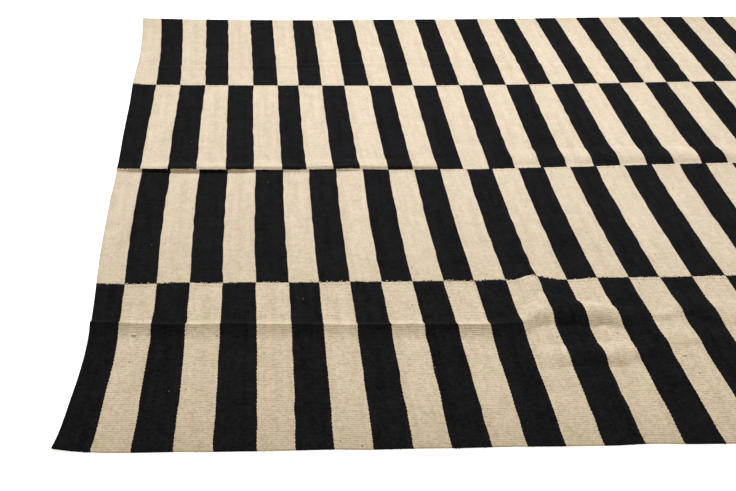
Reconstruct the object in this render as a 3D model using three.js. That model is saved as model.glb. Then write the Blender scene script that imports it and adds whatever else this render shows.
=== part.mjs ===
// A flat-woven kilim rug with black and cream stripes, lying on a floor.
// Four long panels, each one loom width deep, are sewn side by side along their selvedges.
// The cloth is a thin sheet. It lies flat but for its fold lines, a ripple near the first seam,
// the swells and the lip along the middle seam and a curled corner, where it lifts off the floor.
// The origin is on the floor under the middle of the rug. X runs along the rug, Y across it
// from the front edge to the back, and Z is up. All sizes are in millimetres.

import * as THREE from 'three';

// Driving dimensions
const RUG_LENGTH = 3000;
const RUG_WIDTH = 2000;
const FRONT_LINE = 2.5; // the front edge's even line, from the front of the rug's box
const SIDE_LINE = 19; // the left end's even line, from the left of the rug's box
const PANEL_DEPTH = 493.4; // between seam lines
const STRIPE_WIDTH = 76.4;
const STRIPE_COUNT = 39;
const CLOTH_THICKNESS = 3;
const SEAM_GAP = 0.3;
const HEM_WIDTH = 24; // the turned-under end of the cloth
const HEM_STEP = 5; // over which the hem's extra layer starts
const HEM_LAYER = 1.6; // how much thicker the pressed hem is
const END_REACH = 3.6 * STRIPE_WIDTH; // how far in from an end the cloth follows that end's outline

// How far the left end lies from the box's left side, by place across the rug
const LEFT_END = [
  { y: 15, inset: 3 },
  { y: 40, inset: 8 },
  { y: 75, inset: 13 },
  { y: 140, inset: 20 },
  { y: 206, inset: 27 },
  { y: 300, inset: 32 },
  { y: 434, inset: 29 },
  { y: 600, inset: 21 },
  { y: 850, inset: 18 },
  { y: 950, inset: 20 },
  { y: 1200, inset: 17 },
  { y: 1500, inset: 14 },
  { y: 1700, inset: 18 },
  { y: 1940, inset: 7 },
  { y: 2000, inset: 0 },
];

// How far the right end lies from the box's right side
const RIGHT_END = [
  { y: 0, inset: 5 },
  { y: 300, inset: 1 },
  { y: 500, inset: 0 },
  { y: 1000, inset: 4 },
  { y: 1500, inset: 1 },
  { y: 2000, inset: 8 },
];

// How far each edge and seam wanders from an even spacing, by place along the rug
const FRONT_EDGE = [
  { x: 0, off: 13 },
  { x: 38, off: 7.5 },
  { x: 76, off: 3.5 },
  { x: 130, off: 0.2 },
  { x: 236, off: 0.5 },
  { x: 341, off: -0.7 },
  { x: 552, off: -0.2 },
  { x: 611, off: -2.3 },
  { x: 741, off: -1.5 },
  { x: 820, off: -2.4 },
  { x: 1100, off: -2.4 },
  { x: 1175, off: 0.8 },
  { x: 1235, off: -1.3 },
  { x: 1330, off: -2.4 },
  { x: 2000, off: -2 },
  { x: 2600, off: -0.5 },
  { x: 3000, off: 2 },
];
const FIRST_SEAM = [
  { x: 0, off: 4.5 },
  { x: 100, off: 1 },
  { x: 160, off: 1.5 },
  { x: 235, off: 5 },
  { x: 304, off: 0.5 },
  { x: 376, off: 2.5 },
  { x: 480, off: 0.5 },
  { x: 600, off: 0 },
  { x: 650, off: 1 },
  { x: 680, off: -1.5 },
  { x: 840, off: -1 },
  { x: 940, off: -3.5 },
  { x: 980, off: 1 },
  { x: 1030, off: -1 },
  { x: 1060, off: 4.5 },
  { x: 1095, off: 4.5 },
  { x: 1125, off: -1 },
  { x: 1174, off: -1.5 },
  { x: 1235, off: 4 },
  { x: 1400, off: 3.5 },
  { x: 1544, off: 5.5 },
  { x: 2200, off: 4 },
  { x: 3000, off: 2 },
];
const MIDDLE_SEAM = [
  { x: 0, off: -4 },
  { x: 60, off: -6.5 },
  { x: 110, off: -10 },
  { x: 210, off: -14 },
  { x: 286, off: -16 },
  { x: 362, off: -17 },
  { x: 420, off: -15 },
  { x: 480, off: -16 },
  { x: 540, off: -16 },
  { x: 600, off: -14 },
  { x: 650, off: -16 },
  { x: 698, off: -13 },
  { x: 745, off: -15 },
  { x: 820, off: -17.5 },
  { x: 920, off: -16 },
  { x: 1060, off: -15 },
  { x: 1180, off: -11.5 },
  { x: 1335, off: -11 },
  { x: 1545, off: -5 },
  { x: 1755, off: 0 },
  { x: 2200, off: 4 },
  { x: 3000, off: 0 },
];
const LAST_SEAM = [
  { x: 0, off: 9 },
  { x: 105, off: 0 },
  { x: 400, off: -8 },
  { x: 670, off: -13 },
  { x: 1060, off: -17 },
  { x: 1415, off: -12 },
  { x: 1850, off: -2 },
  { x: 2300, off: 3 },
  { x: 3000, off: 0 },
];
const BACK_EDGE = [
  { x: 19, off: 23.9 },
  { x: 215, off: 10 },
  { x: 586, off: 0 },
  { x: 960, off: 2 },
  { x: 1334, off: 4 },
  { x: 1713, off: 13 },
  { x: 2229, off: 14 },
  { x: 2600, off: 10 },
  { x: 3000, off: 15 },
];

// The folds. Each runs along the rug as a ridge: y is its crest's place across the rug, height
// how far the cloth is lifted there, front and back how far it falls to either side, and sharp
// is 1 where the crest is pressed to an edge or 0 where it is round.
const LONG_CREASE = [
  { x: 0, y: 357, height: 12, front: 42, back: 24, sharp: 1 },
  { x: 134, y: 351, height: 13.5, front: 42, back: 24, sharp: 1 },
  { x: 286, y: 345.5, height: 12.5, front: 42, back: 26, sharp: 1 },
  { x: 439, y: 343.5, height: 12, front: 42, back: 26, sharp: 1 },
  { x: 592, y: 340, height: 10.5, front: 42, back: 26, sharp: 1 },
  { x: 745, y: 336.5, height: 13, front: 42, back: 28, sharp: 1 },
  { x: 898, y: 332, height: 14, front: 40, back: 28, sharp: 1 },
  { x: 960, y: 335, height: 12, front: 42, back: 30, sharp: 0.9 },
  { x: 1012, y: 341, height: 11.5, front: 40, back: 34, sharp: 0.6 },
  { x: 1035, y: 360, height: 14, front: 42, back: 42, sharp: 0.3 },
  { x: 1060, y: 377, height: 15, front: 50, back: 50, sharp: 0.1 },
  { x: 1089, y: 387, height: 11.5, front: 52, back: 60, sharp: 0 },
  { x: 1130, y: 382, height: 14.5, front: 50, back: 54, sharp: 0 },
  { x: 1165, y: 376, height: 17, front: 52, back: 50, sharp: 0 },
  { x: 1203, y: 374, height: 17, front: 48, back: 46, sharp: 0 },
  { x: 1241, y: 366, height: 10, front: 46, back: 36, sharp: 0 },
  { x: 1280, y: 367, height: 6, front: 36, back: 34, sharp: 0.2 },
  { x: 1318, y: 367, height: 4, front: 22, back: 34, sharp: 0.4 },
  { x: 1394, y: 386, height: 5, front: 26, back: 52, sharp: 0.2 },
  { x: 1471, y: 372, height: 5, front: 46, back: 52, sharp: 0 },
  { x: 1560, y: 366, height: 3.5, front: 44, back: 60, sharp: 0 },
  { x: 1800, y: 352, height: 3, front: 40, back: 70, sharp: 0 },
  { x: 2400, y: 350, height: 1.5, front: 40, back: 70, sharp: 0 },
  { x: 2700, y: 350, height: 0, front: 40, back: 70, sharp: 0 },
];
const LOW_RIPPLE = [
  { x: 1005, y: 236, height: 0, front: 30, back: 38, sharp: 0 },
  { x: 1050, y: 238, height: 3, front: 30, back: 38, sharp: 0 },
  { x: 1089, y: 241, height: 6, front: 30, back: 38, sharp: 0 },
  { x: 1165, y: 242, height: 9.5, front: 30, back: 40, sharp: 0 },
  { x: 1203, y: 245, height: 8.5, front: 28, back: 38, sharp: 0 },
  { x: 1241, y: 252, height: 5, front: 28, back: 38, sharp: 0 },
  { x: 1318, y: 279, height: 3.5, front: 32, back: 36, sharp: 0 },
  { x: 1394, y: 294, height: 3, front: 24, back: 38, sharp: 0 },
  { x: 1480, y: 305, height: 0, front: 26, back: 42, sharp: 0 },
];
const SEAM_BUMP = [
  { x: 1018, y: 472, height: 0, front: 78, back: 80, sharp: 0 },
  { x: 1042, y: 472, height: 4, front: 78, back: 80, sharp: 0 },
  { x: 1060, y: 472, height: 11, front: 78, back: 80, sharp: 0 },
  { x: 1076, y: 472, height: 11, front: 78, back: 80, sharp: 0 },
  { x: 1092, y: 470, height: 6.5, front: 76, back: 80, sharp: 0 },
  { x: 1118, y: 465, height: 3, front: 72, back: 80, sharp: 0 },
  { x: 1155, y: 460, height: 0, front: 70, back: 80, sharp: 0 },
];
const BEFORE_MIDDLE_SEAM = [
  { x: 1150, y: 978, height: 0, front: 60, back: 18, sharp: 0 },
  { x: 1350, y: 978, height: 3, front: 70, back: 18, sharp: 0 },
  { x: 1700, y: 988, height: 4, front: 76, back: 18, sharp: 0 },
  { x: 2300, y: 992, height: 0, front: 76, back: 18, sharp: 0 },
];
const BEHIND_MIDDLE_SEAM = [
  { x: 1080, y: 1022, height: 0, front: 34, back: 52, sharp: 0 },
  { x: 1190, y: 1026, height: 4, front: 34, back: 52, sharp: 0 },
  { x: 1330, y: 1028, height: 5, front: 34, back: 52, sharp: 0 },
  { x: 1450, y: 1032, height: 7, front: 36, back: 54, sharp: 0 },
  { x: 1750, y: 1034, height: 8, front: 38, back: 54, sharp: 0 },
  { x: 2100, y: 1036, height: 5, front: 38, back: 54, sharp: 0 },
  { x: 2500, y: 1034, height: 0, front: 38, back: 54, sharp: 0 },
];
const BACK_CREASE = [
  { x: 0, y: 1600, height: 2.5, front: 26, back: 13, sharp: 0.7 },
  { x: 200, y: 1603, height: 3, front: 26, back: 13, sharp: 0.7 },
  { x: 400, y: 1604, height: 3.5, front: 28, back: 13, sharp: 0.8 },
  { x: 560, y: 1610, height: 3, front: 28, back: 14, sharp: 0.7 },
  { x: 745, y: 1616, height: 3.5, front: 28, back: 14, sharp: 0.8 },
  { x: 900, y: 1620, height: 3, front: 28, back: 14, sharp: 0.7 },
  { x: 1060, y: 1614, height: 2.5, front: 30, back: 16, sharp: 0.4 },
  { x: 1300, y: 1604, height: 2.5, front: 34, back: 20, sharp: 0.3 },
  { x: 2000, y: 1606, height: 2.5, front: 34, back: 20, sharp: 0.3 },
  { x: 2700, y: 1606, height: 0, front: 34, back: 20, sharp: 0.3 },
];
const BACK_SWELL = [
  { x: 0, y: 1650, height: 1.5, front: 34, back: 70, sharp: 0 },
  { x: 300, y: 1656, height: 2.5, front: 36, back: 70, sharp: 0 },
  { x: 560, y: 1664, height: 2, front: 38, back: 70, sharp: 0 },
  { x: 745, y: 1668, height: 3, front: 34, back: 70, sharp: 0 },
  { x: 900, y: 1670, height: 2.5, front: 36, back: 70, sharp: 0 },
  { x: 1100, y: 1664, height: 2, front: 40, back: 70, sharp: 0 },
  { x: 1700, y: 1660, height: 2, front: 44, back: 80, sharp: 0 },
  { x: 2600, y: 1660, height: 0, front: 44, back: 80, sharp: 0 },
];

// The folds that follow the middle seam: behind is how far their crest lies behind its line. The lip
// is where the edges of both middle panels are pushed up, and the swell lies behind it.
const SEAM_LIP = [
  { x: 0, behind: 0, height: 5, front: 8, back: 40, sharp: 1 },
  { x: 60, behind: 0, height: 6, front: 7, back: 40, sharp: 1 },
  { x: 110, behind: 0, height: 8, front: 5.5, back: 40, sharp: 1 },
  { x: 210, behind: 0, height: 8.5, front: 5, back: 40, sharp: 1 },
  { x: 362, behind: 0, height: 7.5, front: 5, back: 38, sharp: 1 },
  { x: 420, behind: 0, height: 5, front: 5, back: 34, sharp: 1 },
  { x: 540, behind: 0, height: 3.6, front: 5, back: 26, sharp: 1 },
  { x: 600, behind: 0, height: 4.2, front: 5.5, back: 24, sharp: 1 },
  { x: 668, behind: 0, height: 5.5, front: 5, back: 22, sharp: 1 },
  { x: 705, behind: 0, height: 3.6, front: 5.5, back: 20, sharp: 1 },
  { x: 745, behind: 0, height: 2.4, front: 6, back: 16, sharp: 1 },
  { x: 820, behind: 0, height: 1.8, front: 6, back: 14, sharp: 1 },
  { x: 920, behind: 0, height: 1.2, front: 6, back: 14, sharp: 1 },
  { x: 1040, behind: 0, height: 0, front: 6, back: 14, sharp: 1 },
];
const SEAM_SWELL = [
  { x: 60, behind: 16, height: 0, front: 16, back: 42, sharp: 0 },
  { x: 134, behind: 16, height: 2.5, front: 16, back: 42, sharp: 0 },
  { x: 286, behind: 16, height: 3.5, front: 16, back: 44, sharp: 0 },
  { x: 439, behind: 16, height: 4.5, front: 16, back: 44, sharp: 0 },
  { x: 592, behind: 16, height: 4.5, front: 16, back: 44, sharp: 0 },
  { x: 745, behind: 17, height: 5.5, front: 16, back: 42, sharp: 0 },
  { x: 898, behind: 17, height: 4.5, front: 16, back: 42, sharp: 0 },
  { x: 960, behind: 17, height: 1.5, front: 16, back: 42, sharp: 0 },
  { x: 1010, behind: 17, height: 0, front: 16, back: 42, sharp: 0 },
];

// How the cloth falls from a crest: straight at the lip, hollow at a pressed fold, full at a round one
const LIP_POWER = 1;
const PRESSED_POWER = 1.6;
const ROUND_POWER = 1.3;

// The curl of the front left corner
const CORNER_CURL = 4;
const CURL_REACH = 75;

// Stretches of columns along the rug, in stripes, closest together over the ripple. All panels share
// them, so that the edges on either side of a seam keep their gap.
const COLUMN_STRETCHES = [
  { to: 12, step: 1 },
  { to: 19, step: 1 / 3 },
  { to: 25, step: 1 },
  { to: STRIPE_COUNT, step: 2 },
];

// The panels from front to back, with their rows as stretches that end at a distance from the
// panel's front edge, closest together over the folds
const PANELS = [
  {
    name: 'panel_1',
    front: FRONT_EDGE,
    back: FIRST_SEAM,
    folds: [LONG_CREASE, LOW_RIPPLE, SEAM_BUMP],
    stretches: [
      { to: 30, cells: 1 },
      { to: 205, cells: 2 },
      { to: 285, cells: 7 },
      { to: 325, cells: 3 },
      { to: 391, cells: 11 },
      { to: 431, cells: 3 },
      { to: PANEL_DEPTH, cells: 3 },
    ],
  },
  {
    name: 'panel_2',
    front: FIRST_SEAM,
    back: MIDDLE_SEAM,
    folds: [SEAM_BUMP, BEFORE_MIDDLE_SEAM, SEAM_LIP],
    stretches: [
      { to: 75, cells: 3 },
      { to: 400, cells: 1 },
      { to: PANEL_DEPTH - 9, cells: 4 },
      { to: PANEL_DEPTH - 5, cells: 1 },
      { to: PANEL_DEPTH, cells: 2 },
    ],
  },
  {
    name: 'panel_3',
    front: MIDDLE_SEAM,
    back: LAST_SEAM,
    folds: [BEHIND_MIDDLE_SEAM, SEAM_SWELL, SEAM_LIP],
    stretches: [
      { to: 60, cells: 10 },
      { to: 120, cells: 3 },
      { to: PANEL_DEPTH, cells: 2 },
    ],
  },
  {
    name: 'panel_4',
    front: LAST_SEAM,
    back: BACK_EDGE,
    folds: [BACK_CREASE, BACK_SWELL],
    stretches: [
      { to: 85, cells: 1 },
      { to: 173, cells: 12 },
      { to: 265, cells: 3 },
      { to: PANEL_DEPTH, cells: 1 },
    ],
  },
];
const CURLED_PANEL = PANELS[0];
const SEAM_FOLDS = [SEAM_LIP, SEAM_SWELL];

// The cloth's look: warm cream wool, quite matt
const WOOL_COLOUR = 0xd9c6a0;
const WOOL_ROUGHNESS = 0.95;

// The value of a column of a table at a place, on a smooth curve through the table's rows
function along(table, key, place, column) {
  const last = table.length - 1;
  if (place <= table[0][key]) return table[0][column];
  if (place >= table[last][key]) return table[last][column];
  const next = table.findIndex((row) => row[key] > place);
  const from = table[next - 1];
  const to = table[next];
  const before = table[Math.max(next - 2, 0)];
  const after = table[Math.min(next + 1, last)];
  const width = to[key] - from[key];
  const t = (place - from[key]) / width;
  const slopeFrom = ((to[column] - before[column]) / (to[key] - before[key])) * width;
  const slopeTo = ((after[column] - from[column]) / (after[key] - from[key])) * width;
  const t2 = t * t;
  const t3 = t2 * t;
  return (
    (2 * t3 - 3 * t2 + 1) * from[column] +
    (t3 - 2 * t2 + t) * slopeFrom +
    (3 * t2 - 2 * t3) * to[column] +
    (t3 - t2) * slopeTo
  );
}

// Where a fold's crest lies across the rug
function crestPlace(fold, x) {
  if (!SEAM_FOLDS.includes(fold)) return along(fold, 'x', x, 'y');
  const seamLine = FRONT_LINE + 2 * PANEL_DEPTH + along(MIDDLE_SEAM, 'x', x, 'off');
  return seamLine + along(fold, 'x', x, 'behind');
}

// How far a fold lifts the cloth at a place
function foldLift(fold, x, y) {
  const first = fold[0];
  const last = fold[fold.length - 1];
  if (x < first.x || x > last.x) return 0;
  const distance = y - crestPlace(fold, x);
  const side = distance < 0 ? 'front' : 'back';
  const share = Math.min(1, Math.abs(distance) / along(fold, 'x', x, side));
  const sharp = along(fold, 'x', x, 'sharp');
  const pressed = (1 - share) ** (fold === SEAM_LIP ? LIP_POWER : PRESSED_POWER);
  const round = (1 - share * share) ** ROUND_POWER;
  const height = Math.max(0, along(fold, 'x', x, 'height'));
  return height * (sharp * pressed + (1 - sharp) * round);
}

// How high the cloth's underside is at a place
function lift(panel, x, y, frontY) {
  let height = 0;
  for (const fold of panel.folds) height += foldLift(fold, x, y);
  if (panel === CURLED_PANEL) {
    const inward = Math.max(0, 1 - Math.hypot(x - SIDE_LINE, y - frontY) / CURL_REACH);
    height += CORNER_CURL * inward * inward;
  }
  return height;
}

// How thick the cloth is, with its pressed hem at either end
function thickness(fromEnd) {
  const past = THREE.MathUtils.smoothstep(fromEnd, HEM_WIDTH - HEM_STEP, HEM_WIDTH);
  return CLOTH_THICKNESS + HEM_LAYER * (1 - past);
}

// Where an even place along the rug really lies, because the ends wander and draw the cloth along
function drawnAlong(x, y) {
  const farEnd = SIDE_LINE + STRIPE_COUNT * STRIPE_WIDTH;
  const leftShift = along(LEFT_END, 'y', y, 'inset') - SIDE_LINE;
  const rightShift = RUG_LENGTH - along(RIGHT_END, 'y', y, 'inset') - farEnd;
  const fromLeft = Math.max(0, 1 - (x - SIDE_LINE) / END_REACH);
  const fromRight = Math.max(0, 1 - (farEnd - x) / END_REACH);
  return x + leftShift * fromLeft ** 2 + rightShift * fromRight ** 2;
}

// The even places of the columns, with two more at either end for the hem's step
function columnPlaces() {
  const stripes = [0];
  for (const { to, step } of COLUMN_STRETCHES) {
    const from = stripes[stripes.length - 1];
    const count = Math.round((to - from) / step);
    for (let i = 1; i <= count; i += 1) stripes.push(from + ((to - from) * i) / count);
  }
  const places = stripes.map((stripe) => SIDE_LINE + stripe * STRIPE_WIDTH);
  const first = places[0];
  const last = places[places.length - 1];
  for (const inward of [HEM_WIDTH - HEM_STEP, HEM_WIDTH]) places.push(first + inward, last - inward);
  return places.sort((a, b) => a - b);
}

// The places of the rows, as shares of the panel's depth
function rowShares(stretches) {
  const places = [0];
  for (const { to, cells } of stretches) {
    const from = places[places.length - 1];
    for (let i = 1; i <= cells; i += 1) places.push(from + ((to - from) * i) / cells);
  }
  return places.map((place) => place / PANEL_DEPTH);
}

// One panel as a closed sheet: a grid of top points, the same grid below, and a rim that joins them
function panelGeometry(panel, index) {
  const columns = columnPlaces();
  const shares = rowShares(panel.stretches);
  const across = shares.length;
  const frontGap = index > 0 ? SEAM_GAP / 2 : 0;
  const backGap = index < PANELS.length - 1 ? SEAM_GAP / 2 : 0;
  const frontLine = FRONT_LINE + index * PANEL_DEPTH;
  const first = columns[0];
  const last = columns[columns.length - 1];
  const top = [];
  const bottom = [];
  for (const x of columns) {
    const frontY = frontLine + along(panel.front, 'x', x, 'off') + frontGap;
    const backY = frontLine + PANEL_DEPTH + along(panel.back, 'x', x, 'off') - backGap;
    for (const share of shares) {
      const y = THREE.MathUtils.lerp(frontY, backY, share);
      const low = lift(panel, x, y, frontY);
      const high = low + thickness(Math.min(x - first, last - x));
      const placeX = drawnAlong(x, y) - RUG_LENGTH / 2;
      const placeY = y - RUG_WIDTH / 2;
      top.push(placeX, placeY, high);
      bottom.push(placeX, placeY, low);
    }
  }
  const under = columns.length * across;
  const faces = [];
  const square = (a, b, c, d) => faces.push(a, b, c, a, c, d);
  for (let i = 0; i < columns.length - 1; i += 1) {
    for (let j = 0; j < across - 1; j += 1) {
      const a = i * across + j;
      square(a, a + across, a + across + 1, a + 1);
      square(under + a, under + a + 1, under + a + across + 1, under + a + across);
    }
  }
  for (let i = 0; i < columns.length - 1; i += 1) {
    const front = i * across;
    const back = front + across - 1;
    square(front, under + front, under + front + across, front + across);
    square(back, back + across, under + back + across, under + back);
  }
  for (let j = 0; j < across - 1; j += 1) {
    const right = (columns.length - 1) * across + j;
    square(j, j + 1, under + j + 1, under + j);
    square(right, under + right, under + right + 1, right + 1);
  }
  const geometry = new THREE.BufferGeometry();
  geometry.setAttribute('position', new THREE.Float32BufferAttribute([...top, ...bottom], 3));
  geometry.setIndex(faces);
  geometry.computeVertexNormals();
  return geometry;
}

const rug = new THREE.Group();
PANELS.forEach((panel, index) => {
  const wool = new THREE.MeshStandardMaterial({
    color: WOOL_COLOUR,
    roughness: WOOL_ROUGHNESS,
    metalness: 0,
  });
  const mesh = new THREE.Mesh(panelGeometry(panel, index), wool);
  mesh.name = panel.name;
  rug.add(mesh);
});

export default rug;
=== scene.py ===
# A flat-woven kilim rug of four striped panels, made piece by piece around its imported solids.
# Tables are in millimetres on the rug, x from the left of its box and y from the front.

import math

import bpy
import numpy as np
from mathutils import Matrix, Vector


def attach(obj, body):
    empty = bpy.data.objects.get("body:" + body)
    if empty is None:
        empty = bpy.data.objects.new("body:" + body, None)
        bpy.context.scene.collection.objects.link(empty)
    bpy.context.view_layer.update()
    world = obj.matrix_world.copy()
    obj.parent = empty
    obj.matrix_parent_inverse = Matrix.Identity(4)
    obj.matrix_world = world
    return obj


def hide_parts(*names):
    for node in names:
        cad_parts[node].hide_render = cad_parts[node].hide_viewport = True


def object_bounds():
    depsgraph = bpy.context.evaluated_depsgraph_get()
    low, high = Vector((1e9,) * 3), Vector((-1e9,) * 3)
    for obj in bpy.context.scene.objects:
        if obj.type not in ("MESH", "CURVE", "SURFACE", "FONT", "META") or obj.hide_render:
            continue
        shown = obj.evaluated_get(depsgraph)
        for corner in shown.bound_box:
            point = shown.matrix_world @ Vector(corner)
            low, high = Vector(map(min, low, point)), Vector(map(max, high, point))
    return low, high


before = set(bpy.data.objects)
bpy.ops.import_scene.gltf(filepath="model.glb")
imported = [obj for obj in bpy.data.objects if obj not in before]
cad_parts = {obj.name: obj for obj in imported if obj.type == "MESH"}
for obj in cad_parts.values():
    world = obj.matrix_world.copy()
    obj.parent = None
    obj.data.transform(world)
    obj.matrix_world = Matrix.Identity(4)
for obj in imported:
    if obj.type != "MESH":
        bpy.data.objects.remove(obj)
box_low, box_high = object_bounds()


# The four panels
# Each is one loom width of wool weft beaten down over cotton warps until only the weft shows, about
# 100 ribs deep and 3 m long, in cream and black bands. The ends are turned under and pressed flat.

MM = 0.001
RUG_LENGTH = (box_high.x - box_low.x) / MM
RUG_WIDTH = (box_high.y - box_low.y) / MM
FRONT_LINE = 2.5  # the front edge's even line, from the front of the rug's box
SIDE_LINE = 19  # the left end's even line, from the left of the rug's box
PANEL_DEPTH = 493.4  # between seam lines
STRIPE_WIDTH = 76.4
STRIPE_COUNT = 39
CLOTH_THICKNESS = 3
SEAM_GAP = 0.3
HEM_WIDTH = 24
HEM_STEP = 5  # over which the hem's extra layer starts
HEM_LAYER = 1.6  # how much thicker the pressed hem is
END_REACH = 3.6 * STRIPE_WIDTH  # how far in from an end the cloth follows that end's outline

# How far each end lies in from its side of the box, in rows of (y, inset)
LEFT_END = (
    (15, 3), (40, 8), (75, 13), (140, 20), (206, 27), (300, 32), (434, 29), (600, 21),
    (850, 18), (950, 20), (1200, 17), (1370, 17), (1500, 14), (1700, 18), (1940, 7), (2000, 0),
)
RIGHT_END = ((0, 5), (300, 1), (500, 0), (1000, 4), (1500, 1), (2000, 8))

# How far each edge and seam wanders from an even spacing, in rows of (x, off)
FRONT_EDGE = (
    (0, 13), (38, 7.5), (76, 3.5), (130, 0.2), (236, 0.5), (295, -1), (341, -0.7), (430, -1.5),
    (552, -0.2), (611, -2.3), (650, -2.3), (700, -1.3), (741, -1.5), (820, -2.4), (880, -1.3),
    (940, -1.6), (990, -2.4), (1100, -2.4), (1140, -1.2), (1175, 0.8), (1205, 0.4), (1235, -1.3),
    (1330, -2.4), (2000, -2), (2600, -0.5), (3000, 2),
)
FIRST_SEAM = (
    (0, 4.5), (100, 1), (160, 1.5), (235, 5), (304, 0.5), (376, 2.5), (480, 0.5), (600, 0),
    (650, 1), (680, -1.5), (840, -1), (940, -3.5), (980, 1), (1030, -1), (1060, 4.5), (1095, 4.5),
    (1125, -1), (1174, -1.5), (1235, 4), (1400, 3.5), (1544, 5.5), (2200, 4), (3000, 2),
)
MIDDLE_SEAM = (
    (0, -4.5), (60, -8.5), (110, -12.5), (210, -16.5), (286, -18.5), (362, -18.8), (420, -16),
    (480, -16.5), (540, -16), (600, -14), (650, -16), (698, -13), (745, -15), (820, -17.5),
    (920, -16), (1060, -15), (1180, -11.5), (1335, -11), (1545, -5), (1755, 0), (2200, 4),
    (3000, 0),
)
LAST_SEAM = (
    (0, 9), (105, 0), (400, -8), (670, -13), (1060, -17),
    (1415, -12), (1850, -2), (2300, 3), (3000, 0),
)
BACK_EDGE = (
    (19, 23.9), (215, 10), (586, 0), (960, 2), (1334, 4),
    (1713, 13), (2229, 14), (2600, 10), (3000, 15),
)

# How far a stripe's left side lies off its even place along each line, in rows of (stripe, off)
FRONT_DRIFT = (
    (0, 0), (1, -7), (2, -11), (3, -7), (4, -8), (5, 3), (8, 1), (9, 4), (10, 3), (11, 6),
    (12, -1), (14, 0), (15, 6), (16, 8), (17, 13),
)
FIRST_DRIFT = (
    (0, 0), (1, -5), (2, -3), (3, 1), (4, 3), (6, 9), (7, 4), (8, 3), (11, -1),
    (12, -3), (14, -4), (15, -8), (16, -9), (17, -8), (18, -8), (19, -5), (20, 1),
)
MIDDLE_DRIFT = (
    (0, 0), (1, -4), (2, 0), (4, 9), (6, 12), (7, 8), (8, 9), (10, 5), (12, -1),
    (14, -4), (16, -10), (18, -12), (19, -8), (20, -2), (22, 2),
)
MIDDLE_DRIFT_BEHIND = (
    (0, 0), (1, -9), (2, -9), (3, -4), (4, 3), (5, 6), (6, 8), (7, 1), (9, 0), (10, 3), (11, -2),
    (12, -9), (14, -13), (16, -17), (18, -16), (19, -12), (20, -12), (21, -8), (23, -3),
)
LAST_DRIFT = (
    (0, 0), (1, -1), (2, 0), (3, 4), (4, 3), (5, 8), (6, 12), (7, 3), (8, 3), (9, 0), (10, 4),
    (11, 2), (12, -4), (14, -3), (17, -3), (19, -4), (20, -2), (21, -3), (22, 3), (23, 1),
    (24, 7), (25, 11),
)
BACK_DRIFT = (
    (0, 0), (1, -14), (2, -17), (3, -10), (4, -5), (5, 0), (6, 6), (8, 3), (10, 0), (12, -1),
    (13, 4), (14, 1), (15, -1), (16, 7), (17, -5), (19, -2), (21, 2), (22, 13), (23, 9),
    (24, 14), (26, 23), (28, 28),
)
UNSEEN_DRIFT = 3  # how far the stripes past those rows stray
DRIFT_SEED = 5

# The folds, in rows of (x, y, height, front, back, sharp): the crest's place and height, how far it
# falls to either side, and 1 where it is pressed to an edge or 0 where it is round
HEIGHT, FRONT, BACK, SHARP = 2, 3, 4, 5
PRESSED_POWER = 1.85
ROUND_POWER = 1.3
LONG_CREASE = (
    (0, 357, 12, 42, 24, 1), (57, 355, 12.5, 42, 24, 1), (134, 351, 13.5, 42, 24, 1),
    (210, 346, 13, 42, 25, 1), (286, 345.5, 12.5, 42, 26, 1), (362, 347, 12, 42, 26, 1),
    (439, 343.5, 12, 42, 26, 1), (515, 342.5, 11, 42, 26, 1), (592, 340, 10.5, 42, 26, 1),
    (668, 338, 11.5, 42, 27, 1), (745, 336.5, 13, 42, 28, 1), (820, 335, 12.5, 42, 28, 1),
    (898, 332, 14, 40, 28, 1), (960, 335, 12, 42, 30, 0.9), (1012, 341, 11.5, 40, 34, 0.6),
    (1035, 360, 14, 36, 42, 0.3), (1060, 377, 15, 42, 50, 0.1), (1089, 387, 11.5, 50, 60, 0),
    (1130, 382, 14.5, 50, 54, 0), (1165, 376, 17, 48, 46, 0), (1203, 374, 17, 40, 38, 0),
    (1241, 366, 10, 46, 36, 0), (1280, 367, 6, 36, 34, 0.2), (1318, 367, 4, 22, 34, 0.4),
    (1356, 366, 4.5, 20, 36, 0.5), (1394, 386, 5, 26, 52, 0.2), (1471, 372, 5, 46, 52, 0),
    (1560, 366, 3.5, 44, 60, 0), (1800, 352, 3, 40, 70, 0), (2400, 350, 1.5, 40, 70, 0),
    (2700, 350, 0, 40, 70, 0),
)
LOW_RIPPLE = (
    (1005, 236, 0, 30, 38, 0), (1050, 238, 4.5, 36, 38, 0), (1089, 241, 6, 30, 38, 0),
    (1165, 242, 9.5, 34, 40, 0), (1203, 245, 9, 40, 38, 0), (1241, 252, 5, 28, 38, 0),
    (1318, 279, 3.5, 32, 36, 0), (1394, 294, 3, 24, 38, 0), (1480, 305, 0, 26, 42, 0),
)
SEAM_BUMP = (
    (1018, 472, 0, 78, 80, 0), (1042, 472, 4, 78, 80, 0), (1060, 472, 11, 78, 80, 0),
    (1076, 472, 11, 78, 80, 0), (1092, 470, 6.5, 76, 80, 0), (1118, 465, 3, 72, 80, 0),
    (1155, 460, 0, 70, 80, 0),
)
BEFORE_MIDDLE_SEAM = (
    (1150, 978, 0, 60, 18, 0), (1350, 978, 3, 70, 18, 0), (1700, 988, 4, 76, 18, 0),
    (2300, 992, 0, 76, 18, 0),
)
BEHIND_MIDDLE_SEAM = (
    (1080, 1022, 0, 34, 52, 0), (1190, 1026, 4, 34, 52, 0), (1330, 1028, 5, 34, 52, 0),
    (1450, 1032, 7, 36, 54, 0), (1750, 1034, 8, 38, 54, 0), (2100, 1036, 5, 38, 54, 0),
    (2500, 1034, 0, 38, 54, 0),
)
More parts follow.
